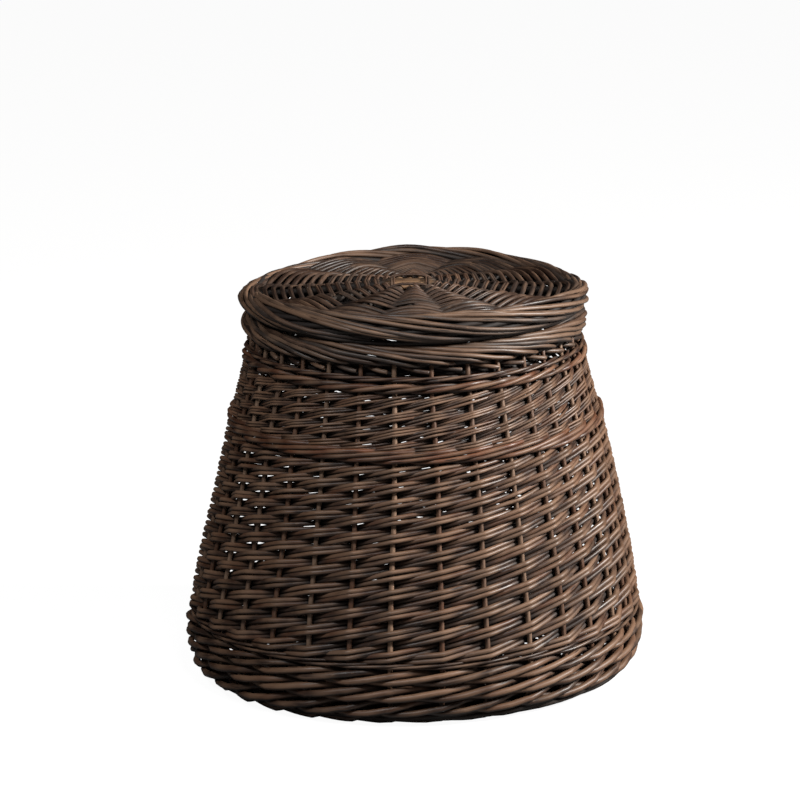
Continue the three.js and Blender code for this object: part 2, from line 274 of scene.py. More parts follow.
def coreRods(radius, height, spread, rods, width, turns=3):
    # dark rods, with a dark stain and painted shade, that run round inside a band and fill it, each one
    # shifted to a start of its own
    made = []
    steps = hiddenRing["steps"]
    for n in range(rods):
        seed = dice.random() * 50
        points = []
        for k in range(steps + 1):
            angle = hiddenRing["start"] + n + fullTurn * k / steps * hiddenRing["lap"]
            roll = fullTurn * n / rods + angle * turns
            r = radius + math.cos(roll) * spread[0] + wander(seed, k * 0.2, hiddenRing["wander"])
            z = height + math.sin(roll) * spread[1] + wander(seed + 4, k * 0.2, hiddenRing["wander"])
            points.append(place(angle, r, z))
        # painted shade all along the hidden rods
        made.append(rod(points, width, tone=hiddenRing["tone"], sunk=[hiddenRing["sunk"]] * len(points)))
    return made


# Materials


def link(tree, a, b):
    tree.links.new(a, b)


# marks on the willow: how many to a metre along the rod and across it, then detail and roughness
marks = {
    "fibres": (22, 900, 3.0, 0.6),
    "patches": (28, 90, 3.0, 0.55),
    "drifts": (7, 30, 2.0, 0.5),
    "rubs": (120, 420, 3.0, 0.6),
    "scars": (16, 160),
}
# colour of bud scars, also mixed into the painted shade deep in the weave
scarAndShadeBrown = (0.004, 0.003, 0.003, 1)
# colour of the painted shade on the rods' sides that face down
undersideShade = (0.005, 0.003, 0.002, 1)


def makeWillowSkin():
    # stained willow: fibres along the rod, patches of stain, rubbed spots and bud scars, with painted shade
    # and highlight
    tree = bpy.data.node_groups.new("willowSkin", "ShaderNodeTree")
    face = tree.interface
    for name, kind in (
        ("Rod Space", "NodeSocketVector"),
        ("Rod Traits", "NodeSocketVector"),
        ("Deep", "NodeSocketColor"),
        ("Middle", "NodeSocketColor"),
        ("Ash", "NodeSocketColor"),
        ("Pale", "NodeSocketColor"),
        ("Ashen", "NodeSocketFloat"),
        ("Rub", "NodeSocketFloat"),
        ("Dim", "NodeSocketFloat"),
    ):
        face.new_socket(name=name, in_out="INPUT", socket_type=kind)
    for name, kind in (
        ("Color", "NodeSocketColor"),
        ("Roughness", "NodeSocketFloat"),
        ("Height", "NodeSocketFloat"),
    ):
        face.new_socket(name=name, in_out="OUTPUT", socket_type=kind)
    nodes = tree.nodes
    inward = nodes.new("NodeGroupInput")
    outward = nodes.new("NodeGroupOutput")

    def scaled(along, across):
        step = nodes.new("ShaderNodeVectorMath")
        step.operation = "MULTIPLY"
        step.inputs[1].default_value = (along, across, across)
        link(tree, inward.outputs["Rod Space"], step.inputs[0])
        return step.outputs[0]

    def noiseAt(along, across, detail, rough):
        made = nodes.new("ShaderNodeTexNoise")
        made.inputs["Scale"].default_value = 1.0
        made.inputs["Detail"].default_value = detail
        made.inputs["Roughness"].default_value = rough
        link(tree, scaled(along, across), made.inputs["Vector"])
        return made.outputs["Fac"]

    def ranged(value, low, high, to0=0.0, to1=1.0):
        made = nodes.new("ShaderNodeMapRange")
        made.interpolation_type = "SMOOTHSTEP"
        for i, number in enumerate((low, high, to0, to1)):
            made.inputs[i + 1].default_value = number
        link(tree, value, made.inputs[0])
        return made.outputs[0]

    def reckon(kind, a, b):
        made = nodes.new("ShaderNodeMath")
        made.operation = kind
        for socket, value in zip(made.inputs, (a, b)):
            if isinstance(value, (int, float)):
                socket.default_value = value
            else:
                link(tree, value, socket)
        return made.outputs[0]

    def blend(fac, a, b):
        made = nodes.new("ShaderNodeMix")
        made.data_type = "RGBA"
        for socket, value in ((made.inputs[0], fac), (made.inputs[6], a), (made.inputs[7], b)):
            if isinstance(value, (tuple, float)):
                socket.default_value = value
            else:
                link(tree, value, socket)
        return made.outputs[2]

    traits = nodes.new("ShaderNodeSeparateXYZ")
    link(tree, inward.outputs["Rod Traits"], traits.inputs[0])
    tone, hue, depth = traits.outputs
    fibres = noiseAt(*marks["fibres"])
    patches = noiseAt(*marks["patches"])
    drifts = noiseAt(*marks["drifts"])
    rubs = noiseAt(*marks["rubs"])
    deep, pale = inward.outputs["Deep"], inward.outputs["Pale"]

    # some rods took the stain greyer than others, and each one changes along its length
    ashen = ranged(reckon("ADD", hue, reckon("MULTIPLY", drifts, 0.5)), 0.55, 0.95)
    ashen = reckon("MULTIPLY", ashen, inward.outputs["Ashen"])
    base = blend(ashen, inward.outputs["Middle"], inward.outputs["Ash"])
    base = blend(ranged(tone, 0.5, 0.1, 0.0, 0.85), base, deep)
    base = blend(ranged(tone, 0.5, 0.9, 0.0, 0.5), base, pale)
    base = blend(ranged(patches, 0.45, 0.72, 0.0, 0.4), base, pale)
    base = blend(ranged(patches, 0.5, 0.3, 0.0, 0.55), base, deep)
    base = blend(ranged(fibres, 0.5, 0.72, 0.0, 0.3), base, pale)
    base = blend(reckon("MULTIPLY", ranged(rubs, 0.62, 0.74), inward.outputs["Rub"]), base, pale)

    # where a rod stands out its colour goes paler, as worn stain and painted highlight; its sides that face
    # down get painted shade, and so does a rod where it lies deep in the weave
    base = blend(ranged(depth, -0.3, -1.0, 0.0, 0.45), base, pale)
    facing = nodes.new("ShaderNodeSeparateXYZ")
    link(tree, nodes.new("ShaderNodeTexCoord").outputs["Normal"], facing.inputs[0])
    # painted shade on the sides that face down
    base = blend(ranged(facing.outputs[2], 0.0, -0.7, 0.0, 0.85), base, undersideShade)
    # painted shade where a rod lies deep in the weave, as strong as Dim
    sunk = reckon("MULTIPLY", ranged(depth, 0.0, 1.0), inward.outputs["Dim"])
    base = blend(sunk, base, blend(0.7, deep, scarAndShadeBrown))

    scars = nodes.new("ShaderNodeTexVoronoi")
    scars.inputs["Scale"].default_value = 1.0
    link(tree, scaled(*marks["scars"]), scars.inputs["Vector"])
    scar = ranged(scars.outputs["Distance"], 0.16, 0.07)
    link(tree, blend(reckon("MULTIPLY", scar, 0.8), base, scarAndShadeBrown), outward.inputs["Color"])

    rough = reckon("ADD", ranged(fibres, 0.3, 0.75, 0.0, 0.08), ranged(patches, 0.3, 0.7, 0.0, 0.12))
    rough = reckon("ADD", rough, reckon("MULTIPLY", sunk, 0.3))
    link(tree, reckon("ADD", rough, 0.37), outward.inputs["Roughness"])
    height = reckon("ADD", reckon("MULTIPLY", fibres, 0.6), reckon("MULTIPLY", patches, 1.2))
    link(tree, reckon("SUBTRACT", height, reckon("MULTIPLY", scar, 0.8)), outward.inputs["Height"])
    return tree


willowSkin = makeWillowSkin()


stain = {
    "deep": (0.018, 0.008, 0.005),
    "brown": (0.108, 0.043, 0.021),
    "red": (0.190, 0.068, 0.030),
    "rust": (0.150, 0.074, 0.042),
    "ash": (0.068, 0.048, 0.038),
    "pale": (0.310, 0.182, 0.112),
    "bark": (0.300, 0.200, 0.138),
    "smoke": (0.052, 0.043, 0.038),
    "dusk": (0.078, 0.042, 0.028),
    "wood": (0.300, 0.165, 0.085),
    "light": (0.450, 0.280, 0.160),
}
# rub is the share of rubbed spots, bump and depth are the fibres' relief
finish = {"rub": 0.5, "bump": 0.35, "depth": 0.0006}


def willow(name, shades, ashen, dim=0.95, shine=0.68):
    # shades are the deep, middle, ash and pale stain, and ashen is how much of the ash there is
    # dim is how dark the painted shade makes the rods where they lie deep in the weave
    material = bpy.data.materials.new(name)
    material.use_nodes = True
    tree = material.node_tree
    tree.nodes.clear()
    output = tree.nodes.new("ShaderNodeOutputMaterial")
    shader = tree.nodes.new("ShaderNodeBsdfPrincipled")
    skin = tree.nodes.new("ShaderNodeGroup")
    skin.node_tree = willowSkin
    for attribute, socket in (("rodSpace", "Rod Space"), ("rodTraits", "Rod Traits")):
        reader = tree.nodes.new("ShaderNodeAttribute")
        reader.attribute_name = attribute
        link(tree, reader.outputs["Vector"], skin.inputs[socket])
    for socket, shade in zip(("Deep", "Middle", "Ash", "Pale"), shades):
        skin.inputs[socket].default_value = (*stain[shade], 1)
    skin.inputs["Ashen"].default_value = ashen
    skin.inputs["Rub"].default_value = finish["rub"]
    skin.inputs["Dim"].default_value = dim
    relief = tree.nodes.new("ShaderNodeBump")
    relief.inputs["Strength"].default_value = finish["bump"]
    relief.inputs["Distance"].default_value = finish["depth"]
    link(tree, skin.outputs["Height"], relief.inputs["Height"])
    link(tree, skin.outputs["Color"], shader.inputs["Base Color"])
    link(tree, skin.outputs["Roughness"], shader.inputs["Roughness"])
    link(tree, relief.outputs["Normal"], shader.inputs["Normal"])
    shader.inputs["Specular IOR Level"].default_value = shine
    link(tree, shader.outputs["BSDF"], output.inputs["Surface"])
    return material


weaveWillow = willow("weaveWillow", ("deep", "brown", "ash", "pale"), 0.5)
footWillow = willow("footWillow", ("deep", "rust", "brown", "pale"), 0.4)
waleWillow = willow("waleWillow", ("deep", "red", "brown", "pale"), 0.4)
stakeWillow = willow("stakeWillow", ("brown", "bark", "ash", "pale"), 0.4)
borderWillow = willow("borderWillow", ("deep", "dusk", "smoke", "pale"), 0.8)
lidWillow = willow("lidWillow", ("deep", "dusk", "smoke", "pale"), 0.7, dim=1.0, shine=0.45)
stickWillow = willow("stickWillow", ("deep", "wood", "bark", "light"), 0.1)
print("materials made")


# Side stakes


def turnPoint(angle):
    # radius and height on the bend from the base into the wall
    turn = wall["turn"]
    out = math.sin(angle) ** turn["fullness"]
    down = max(math.cos(angle), 0.0) ** turn["fullness"]
    return mix(turn["radius"], turn["belly"], out), mix(turn["top"], turn["height"], down)


bendLine = [turnPoint(math.pi / 2 * i / 12) for i in range(13)]
stakeLine = [(170, 11), (190, 11)] + bendLine
stakeLine += [(stakeCircle(z), z) for z in (*range(66, wall["stakeTop"], 12), wall["stakeTop"])]

for i in range(stakeCount):
    points = []
    for r, z in stakeLine:
        sway = wander(i + 1, z * 0.012, wall["stakeSway"]) * clamp(z / wall["footHeight"] - 1)
        points.append(placeAt(i, r, z, sway))
    stake = rod(points, wall["stakeWidth"], wall["stakeTip"])
    node = f"side_stake_{i + 1:02d}"
    laidRods(f"sideStake{i + 1:02d}", [stake], stakeWillow, "basket", [node])
print("side stakes laid")


# Siding

# first and last are the heights of the lowest and the highest layer, and fill is the rods' width there
# as a share of them
lowerSiding = {
    "bottom": 71.0, "top": 277.6, "layers": 22, "first": 10.9, "last": 7.3,
    "rods": 2, "fill": (0.55, 0.65),
}
upperSiding = {
    "bottom": 286.5, "top": 349.5, "layers": 8, "first": 7.2, "last": 7.2,
    "rods": 3, "fill": (0.44, 0.43),
}
sidingWay = {
    # where points lie between two stakes, and how soft the bend round a stake is
    "shares": (0.0, 0.045, 0.15, 0.5, 0.85, 0.955),
    "soft": 0.035,
    # a rod starts this many stakes before its first layer, and stops this many before its last
    "lead": 0.8,
    "stop": 0.75,
    "thick": (0.93, 1.04),
    # from rod to rod in a layer, in rod widths
    "apart": 0.96,
    # behind a stake the rods are beaten down a little further
    "beaten": 0.8,
    "wanderUp": 1.4,
    "wanderOut": 0.4,
}


def layerHeight(siding, layer):
    # height where that layer crosses a stake; layers get thinner as the rods taper
    count = siding["layers"]
    whole = count * (siding["first"] + siding["last"]) / 2
    part = siding["first"] * layer + (siding["last"] - siding["first"]) * layer**2 / (2 * count)
    return mix(siding["bottom"], siding["top"], part / whole)


def sidingRods(siding):
    # a few rods start at each stake, go outside it, inside the next and so on, and climb a layer
    # each time
    rods = []
    way = sidingWay
    count = siding["layers"]
    for stake in range(stakeCount):
        for which in range(siding["rods"]):
            upper = which - (siding["rods"] - 1) / 2
            seed = dice.random() * 50
            thick = dice.uniform(*way["thick"])
            ends = [siding[key] * fill * thick for key, fill in zip(("first", "last"), siding["fill"])]
            points, sunk = [], []
            for layer in bends(-way["lead"], count - way["stop"], way["shares"]):
                width = mix(*ends, clamp(layer / count))
                level = 0.5 + (layer if layer > 0 else layer * 0.45)
                proud = zigzag(layer, way["soft"])
                z = layerHeight(siding, level) + upper * width * way["apart"]
                z += wander(seed, layer * 0.8, way["wanderUp"]) - (1 - proud) * way["beaten"]
                off = proud * (besideStake(width) + wander(seed + 9, layer, way["wanderOut"]))
                radius, height, outward, _ = wallAt(z)
                points.append(placeAt(stake + layer, radius + outward[0] * off, height + outward[1] * off))
                # painted shade where a rod passes inside a stake, a paler colour, as worn stain and painted
                # highlight, where it passes outside
                sunk.append(clamp(-0.12 - proud * 1.1, -1))
            rods.append(rod(points, *ends, sunk=sunk))
    return rods


laidRods("lowerSiding", sidingRods(lowerSiding), weaveWillow, "basket", ["lower_siding"])
laidRods("upperSiding", sidingRods(upperSiding), weaveWillow, "basket", ["upper_siding"])
print("siding laid")


# Wales

waleWay = {
    # where points lie between two stakes, and how soft the turn behind a stake is
    "shares": (0.0, 0.12, 0.3, 0.5, 0.7, 0.88),
    "soft": 0.12,
    # a strand's highest rise over its row, as a share of its even climb
    "climb": 1.12,
    # how far a strand comes out from under its neighbours until it ends over them
    "over": 2.4,
    "wanderUp": 1.1,
    "wanderOut": 0.6,
    "thick": (0.92, 1.05),
    "taper": (0.86, 0.98),
}


def walePath(line, wale, first, last, seed):
    # line gives (radius, height, outward, upward) at a stake number; a strand passes in front of all
    # stakes but every strands-th, climbing as it goes, and drops back behind that one
    points = []
    way, strands, rise = waleWay, wale["strands"], wale["rise"]
    limit = (strands - 2) / 2 * rise * way["climb"]
    for at in bends(first, last, way["shares"]):
        u = (at - first) % strands
        hidden = min(u, strands - u)  # stakes from the one that it passes behind
        lean = 2 * rounded(min(hidden, 1.0), way["soft"]) / rounded(1.0, way["soft"]) - 1
        if hidden > 0.5:
            climb = limit * math.sin(clamp((u - strands / 2) * rise / limit, -math.pi / 2, math.pi / 2))
        else:
            v = (u + strands / 2) % strands - strands / 2  # from -0.5 to 0.5 behind the stake
            climb = -limit * math.sin(math.pi * v)
        between = math.sin(math.pi * (u % 1)) ** 2 if hidden >= 1 else 0.0
        radius, height, outward, upward = line(at)
        over = (u - strands / 2) / strands * way["over"] if hidden > 0.5 else 0.0
        off = lean * wale["out"] + between * wale["bulge"] + over + wander(seed, at * 0.7, way["wanderOut"])
        climb += wander(seed + 5, at * 0.6, way["wanderUp"])
        # outward is square to the wall, upward runs along it
        r = radius + outward[0] * off + upward[0] * climb
        z = height + outward[1] * off + upward[1] * climb
        # painted shade behind a stake, and a paler colour, as worn stain and painted highlight, where a
        # strand bows out between stakes
        deep = 0.32 - lean * 0.5 - over * 0.12
        points.append((at, r, z, deep if deep > 0 else -0.25 - between * 0.65))
    return points


def waleRods(line, wale, shift=0, lift=None):
    # each strand goes round once and is made up of a few rods, joined behind a stake; lift may move
    # a point on
    made = []
    strands, rods = wale["strands"], wale["rods"]
    passes = math.ceil(stakeCount / strands)
    for strand in range(strands):
        start = strand + shift
        joins = [start + strands * round(passes * part / rods) for part in range(rods + 1)]
        for a, b in zip(joins, joins[1:]):
            thick = wale["width"] * dice.uniform(*waleWay["thick"])
            points, sunk = [], []
            for at, r, z, deep in walePath(line, wale, a, b, dice.random() * 50):
                if lift:
                    r, z = lift(at, r, z, thick / 2)
                points.append(placeAt(at, r, z))
                sunk.append(clamp(deep, -1))
            made.append(rod(points, thick, thick * dice.uniform(*waleWay["taper"]), wale["tone"], sunk))
    return made


# rods is how many make up one strand, rise its climb from stake to stake, bulge how far it bows out
# between two stakes, and inside are the rods that run behind the stakes
midWale = {
    "height": 281.5, "width": 5.6, "strands": 4, "rods": 4, "rise": 5.5, "bulge": 0.6, "tone": None,
    "inside": {"height": 281.5, "spread": (0.4, 5.0)},
}
topWale = {
    "height": 350.6, "width": 5.4, "strands": 3, "rods": 4, "rise": 5.4, "bulge": 0.6, "tone": None,
    "inside": {"height": 354.5, "spread": (0.4, 3.4)},
}
topRow = {
    "height": 360.2, "width": 3.6, "strands": 3, "rods": 2, "rise": 3.4, "bulge": 0.6, "tone": 0.15,
}
insideRods = {"in": 5.4, "rods": 2, "width": 5.0}


def levelWale(wale):
    at = wallAt(wale["height"])
    return waleRods(lambda stake: at, {**wale, "out": besideStake(wale["width"])})


def rodsInside(wale):
    height = wale["inside"]["height"]
    radius = stakeCircle(height) - insideRods["in"]
    return coreRods(radius, height, wale["inside"]["spread"], insideRods["rods"], insideRods["width"])


midRods = levelWale(midWale) + rodsInside(midWale)
topRods = levelWale(topWale) + levelWale(topRow) + rodsInside(topWale)
laidRods("midWale", midRods, waleWillow, "basket", ["mid_wale"])
laidRods("topWale", topRods, waleWillow, "basket", ["top_wale"])
print("wales laid")


# Foot wale

footWale = {
    "rows": 4, "from": 7.6, "width": 7.7, "strands": 3, "rods": 3, "out": 6.9, "bulge": 1.6,
    "tone": None,
    # a strand's climb as a share of the height of a row
    "climb": 0.6,
    # it has spread a little at the front left and sunk by drop, less and less from full up to top
    "sag": {"out": 5.0, "drop": 3.0, "angle": -40, "spread": 38, "top": 50, "full": 10},
    "cores": [
        {"radius": 220, "height": 11, "spread": (2.5, 1.5), "rods": 2, "width": 6.0},
        {"radius": 230.5, "height": 8.6, "spread": (3.2, 2.2), "rods": 3, "width": 6.4, "turns": 5},
    ],
    "inside": {"in": 5.6, "spread": (0.6, 0.6), "width": 6.0},
}
capRow = {
    "height": 66.5, "width": 3.6, "strands": 3, "rods": 3, "rise": 3.9, "out": 4.9, "bulge": 0.6,
    "tone": 0.12,
}

footPath = bendLine + [(stakeCircle(z), z) for z in (58, 62)]
runs = [0.0]
for a, b in zip(footPath, footPath[1:]):
    runs.append(runs[-1] + math.dist(a, b))


def footAt(run):
    # radius, height and directions on the stakes' bend at a length along it
    run = clamp(run, 0.01, runs[-1] - 0.01)
    i = next(i for i in range(len(runs) - 1) if run <= runs[i + 1])
    part = (run - runs[i]) / (runs[i + 1] - runs[i])
    a, b = footPath[i], footPath[i + 1]
    before, after = footPath[max(i - 1, 0)], footPath[min(i + 2, len(footPath) - 1)]
    left = Vector((b[0] - before[0], b[1] - before[1])).normalized()
    right = Vector((after[0] - a[0], after[1] - a[1])).normalized()
    along = left.lerp(right, part).normalized()
    return mix(a[0], b[0], part), mix(a[1], b[1], part), (along[1], -along[0]), (along[0], along[1])


def settled(at, r, z, radius):
    # the lowest row lies on the floor
    sag = footWale["sag"]
    part = hump(awayFrom(math.degrees((at + 0.5) * stakeStep), sag["angle"]), sag["spread"])
    part *= clamp((sag["top"] - z) / (sag["top"] - sag["full"]))
    return r + sag["out"] * part, max(z - sag["drop"] * part, radius + 0.2)


footRods = []
pitch = (runs[-1] - footWale["from"]) / footWale["rows"]
footRow = {**footWale, "rise": pitch * footWale["climb"]}
for row in range(footWale["rows"]):
    at = footAt(footWale["from"] + pitch * (row + 0.5))
    footRods += waleRods(lambda stake, at=at: at, footRow, shift=row * 2, lift=settled)
for core in footWale["cores"]:
    footRods += coreRods(**core)
inside = footWale["inside"]
for row in range(footWale["rows"]):
    radius, height, outward, _ = footAt(footWale["from"] + pitch * (row + 1))
    radius -= outward[0] * inside["in"]
    height -= outward[1] * inside["in"]
    footRods += coreRods(radius, height, inside["spread"], 1, inside["width"])
capLevel = wallAt(capRow["height"])
footRods += waleRods(lambda stake: capLevel, capRow, shift=1)
laidRods("footWale", footRods, footWillow, "basket", ["foot_wale"])
print("foot laid")


# Rim border: each stake's rod bends over to the right, comes down outside and is cut at a later stake

rimBorder = {
    "radius": 174.5,
    "width": 6.0,
    # stakes to the right, distance out of the stakes' circle, and height
    "way": [
        (0.0, 0.0, 374), (0.6, -5.0, 385), (1.2, -4.5, 391.5), (1.9, -0.5, 394.4), (2.7, 4.0, 394.0),
        (3.6, 7.4, 391.8), (4.5, 9.2, 388.4), (5.4, 9.4, 383.8), (6.0, 8.6, 380.2), (6.5, 4.4, 376.4),
        (7.0, -5.2, 373), (7.35, 0.5, 371.2), (7.7, 5.2, 369.4), (7.9, 6.0, 368.6),
    ],
    "shares": (0.0, 0.2, 0.4, 0.6, 0.8),
    # stakes after which a rod is cut, and where its end is tucked in
    "cut": (7.78, 7.95),
    "tuck": {"at": 7.0, "spread": 0.3},
    "thick": (0.92, 1.06),
    "taper": 0.82,
    "wanderOut": 2.6,
    "wanderUp": 2.8,
    "cores": [
        {"radius": 175.5, "height": 383, "spread": (1.5, 6.0), "rods": 3, "width": 6.0},
        {"radius": 176, "height": 392.6, "spread": (0.6, 0.4), "rods": 1, "width": 6.0},
        {"radius": 169.6, "height": 366.6, "spread": (0.6, 3.6), "rods": 2, "width": 6.0},
    ],
}


def rimRods():
    outs = [(at, out) for at, out, _ in rimBorder["way"]]
    heights = [(at, height) for at, _, height in rimBorder["way"]]
    tuck = rimBorder["tuck"]
    rods = []
    for stake in range(stakeCount):
        seed = dice.random() * 50
        thick = rimBorder["width"] * dice.uniform(*rimBorder["thick"])
        cut = dice.uniform(*rimBorder["cut"])
        points, sunk = [], []
        for at in bends(0.0, cut, rimBorder["shares"]):
            r = rimBorder["radius"] + smoothLine(outs, at) + wander(seed, at, rimBorder["wanderOut"])
            z = smoothLine(heights, at) + wander(seed + 3, at * 0.7, rimBorder["wanderUp"])
            points.append(placeAt(stake + at, r, z))
            # painted shade where the rod rises from inside the stakes and where its end is tucked in
            sunk.append(clamp(0.75 - at * 0.35) + 0.9 * hump(at - tuck["at"], tuck["spread"]))
        rods.append(rod(points, thick, thick * rimBorder["taper"], sunk=sunk))
    return rods


rimCores = [made for core in rimBorder["cores"] for made in coreRods(**core)]
laidRods("rimBorder", rimRods() + rimCores, borderWillow, "basket", ["rim_border"])
print("rim laid")


# Lid border: rods start inside, roll over the top and come down outside as they run to the right

lidBorder = {
    # radius and height of the middle of the roll, and half of its width and of its height
    "radius": 175.6, "height": 414.15, "half": (14.9, 16.6),
    "rods": 31, "width": 5.8, "thick": (0.88, 1.08), "taper": 0.82,
    # degrees round the roll at a rod's two ends, and how far it runs round the lid meanwhile
    "from": 200, "to": -80, "steps": 42, "sweep": 128, "length": (0.9, 1.08),
    # a rod lies on its neighbours as it crosses the top
    "crest": {"by": 1.4, "at": 95, "spread": 32},
    # how unevenly the roll is filled, and how much flatter it is on its outer shoulder
    "squeeze": 0.3,
    "shoulder": 3.0,
    # it lies lower and is slimmer at both sides, towards the back
    "dips": [{"by": 10.0, "angle": -112, "spread": 44}, {"by": 8.5, "angle": 108, "spread": 42}],
    # what a dip takes off the roll's inner width, for each millimetre, and off its outer reach
    "slim": 0.045,
    "draw": 0.35,
    "cores": [
        {"radius": 175.6, "height": 412.15, "spread": (7.0, 6.0), "rods": 6, "width": 6.5},
        {"radius": 177, "height": 400.4, "spread": (1.0, 0.4), "rods": 1, "width": 5.0},
    ],
}


def lidDip(angle):
    # how much lower the border lies at that angle from the front
    return sum(dip["by"] * hump(awayFrom(angle, dip["angle"]), dip["spread"]) for dip in lidBorder["dips"])


def lidBorderRods():
    rods = []
    crest, half = lidBorder["crest"], lidBorder["half"]
    for n in range(lidBorder["rods"]):
        seed = dice.random() * 50
        thick = lidBorder["width"] * dice.uniform(*lidBorder["thick"])
        length = math.radians(lidBorder["sweep"]) * dice.uniform(*lidBorder["length"])
        begin = (n + dice.uniform(0.38, 0.62)) / lidBorder["rods"] * fullTurn
        points, sunk = [], []
        for k in range(lidBorder["steps"] + 1):
            part = k / lidBorder["steps"]
            turned = mix(lidBorder["from"], lidBorder["to"], part)
            turn = math.radians(turned)
            angle = begin + part * length
            ridden = crest["by"] * hump(turned - crest["at"], crest["spread"])
            squeeze = 1 + wander(seed, part * 5, lidBorder["squeeze"])
            low = lidDip(math.degrees(angle))
            slim = 1 - low * lidBorder["slim"] * clamp(-math.cos(turn) * 3)
            across = (half[0] - thick / 2) * squeeze * slim
            up = (half[1] - thick / 2 - crest["by"]) * squeeze + ridden
            low *= clamp(math.sin(turn))
            drawn = low * lidBorder["draw"] * clamp(math.cos(turn))
            drawn += lidBorder["shoulder"] * clamp(math.sin(2 * turn))
            r = lidBorder["radius"] + math.cos(turn) * across - drawn
            z = lidBorder["height"] + math.sin(turn) * up - low
            points.append(place(angle, r, z))
            # painted shade on the inner side and underside of the roll, and a paler colour, as worn stain
            # and painted highlight, on its outer top
            sunk.append(clamp(abs(turned - 45) / 75 - 0.85, -0.8))
        rods.append(rod(points, thick, thick * lidBorder["taper"], sunk=sunk))
    return rods


lidCores = [made for core in lidBorder["cores"] for made in coreRods(**core)]
laidRods("lidBorder", lidBorderRods() + lidCores, borderWillow, "lid", ["lid_border"])
print("lid border laid")


# Crossed sticks and the flat weaves round them

# crown is the height in the middle, drop how much lower the disc is at its radius, and level where it
# goes flat; the sticks lie side by side as far as straight and are fanned out from spread on;
# a weave's straight is how straight its rods run from arm to arm, at its start and further out
lid = {
    "prefix": "lid", "bodyName": "lid", "arms": 12, "turned": 0.0,
    "crown": 423.5, "drop": 14, "radius": 158, "level": 128,
    "stick": 9.4, "stickTip": 7.6, "flat": 2.2, "spacing": 10.3,
    "straight": 19.9, "spread": 34.8, "reach": 171,
    "inner": {
        "from": 25.5, "to": 104, "width": 2.65, "fat": 1.16, "lanes": 2,
        "soft": 0.1, "straight": (0.95, 0.95), "shares": (0.0, 0.1, 0.25, 0.5, 0.75, 0.9),
    },
    "outer": {
        "from": 101, "to": 171, "width": 4.7, "fat": 1.14, "lanes": 1,
        "soft": 0.3, "straight": (0.95, 0.25), "shares": (0.0, 0.12, 0.25, 0.38, 0.5, 0.62, 0.75, 0.88),
    },
}
base = {
    "prefix": "base", "bodyName": "basket", "arms": 16, "turned": math.pi / 16,
    "crown": 11, "drop": 0, "radius": 206, "level": 206,
    "stick": 9, "stickTip": 9, "flat": 2.2, "spacing": 9.3,
    "straight": 22.5, "spread": 39.4, "reach": 200,
    "inner": {
        "from": 30, "to": 205, "width": 2.9, "fat": 1.1, "lanes": 2,
        "soft": 0.12, "straight": (0.9, 0.9), "shares": (0.0, 0.12, 0.3, 0.5, 0.7, 0.88),
    },
}
# the rod that binds the sticks, on one side of its square: place along it, and height over the sticks
bindingSide = ((-0.92, 0.25), (-0.6, 0.95), (0, 1), (0.6, 0.95), (0.92, 0.25))
bindingRounds = 4
# sink is how far a rod is pressed into the arm that it crosses, and settle the distance over which
# a weave's rods change from straight to curved
discWay = {"thick": (0.92, 1.04), "wander": 0.7, "sink": 0.3, "settle": 20}


def discHeight(disc, distance):
    return disc["crown"] - disc["drop"] * (min(distance, disc["level"]) / disc["radius"]) ** 2


def stickRadius(disc, distance):
    return mix(disc["stick"], disc["stickTip"], clamp(distance / disc["radius"])) / 2


def layCross(disc):
    # sticks cross in the middle, one group split and the other drawn flat through it, then fan out
    # into arms
    perSide = disc["arms"] // 4
    stops = (6, 12, disc["straight"] * 0.9, disc["straight"] * 1.1, disc["spread"], 60, 110, disc["reach"])
    for through in (False, True):
        turn = Matrix.Rotation(disc["turned"] + (math.pi / 2 if through else 0), 3, "Z")
        for i in range(perSide):
            aside = i - (perSide - 1) / 2
            fan = aside / perSide * math.pi / 2
            half = []
            for d in stops:
                if d < disc["spread"]:
                    half.append((d, aside * disc["spacing"], d))
                else:
                    half.append((d * math.cos(fan), d * math.sin(fan), d))
            whole = [(-x, y, d) for x, y, d in reversed(half)] + half
            points = [turn @ Vector((x, y, discHeight(disc, d))) * mm for x, y, d in whole]
            made = rod(softened(points), 1)
            last = len(made["points"]) - 1
            for k, point in enumerate(made["points"]):
                away = Vector((point.x, point.y)).length / mm
                # the sticks get painted shade from a little past their straight middle out to their ends
                made["sunk"][k] = clamp((away - disc["straight"]) / 10)
                radius = stickRadius(disc, away)
                if through:
                    radius = mix(disc["flat"], radius, clamp((away - disc["straight"]) / 6))
                made["radii"][k] = radius * (rodShape["edgeShare"] if k in (0, last) else 1)
            kind = "through" if through else "pierced"
            name = f"{disc['prefix']}{kind.capitalize()}Stick{i + 1}"
            node = f"{disc['prefix']}_{kind}_stick_{i + 1}"
            laidRods(name, [made], stickWillow, disc["bodyName"], [node])


def bindingRods(disc):
    # the first rounds go over and under whole groups of sticks
    rods = []
    width = disc["inner"]["width"]
    half = disc["arms"] / 8 * disc["spacing"]
    lift = disc["stick"] / 2 + width / 2
    turn = Matrix.Rotation(disc["turned"], 3, "Z")
    for lane in range(bindingRounds):
        size = half + (lane + 0.7) * width
        chase = lane // 2
        points = []
        for side in range(4):
            over = 1 if (side + chase) % 2 == 0 else -1
            quarter = Matrix.Rotation(side * math.pi / 2, 3, "Z")
            for along, part in bindingSide:
                height = discHeight(disc, size) + over * part * lift
                points.append(turn @ quarter @ Vector((size, size * along, height)) * mm)
        rods.append(rod(softened(points + [points[0]]), width))
    return rods


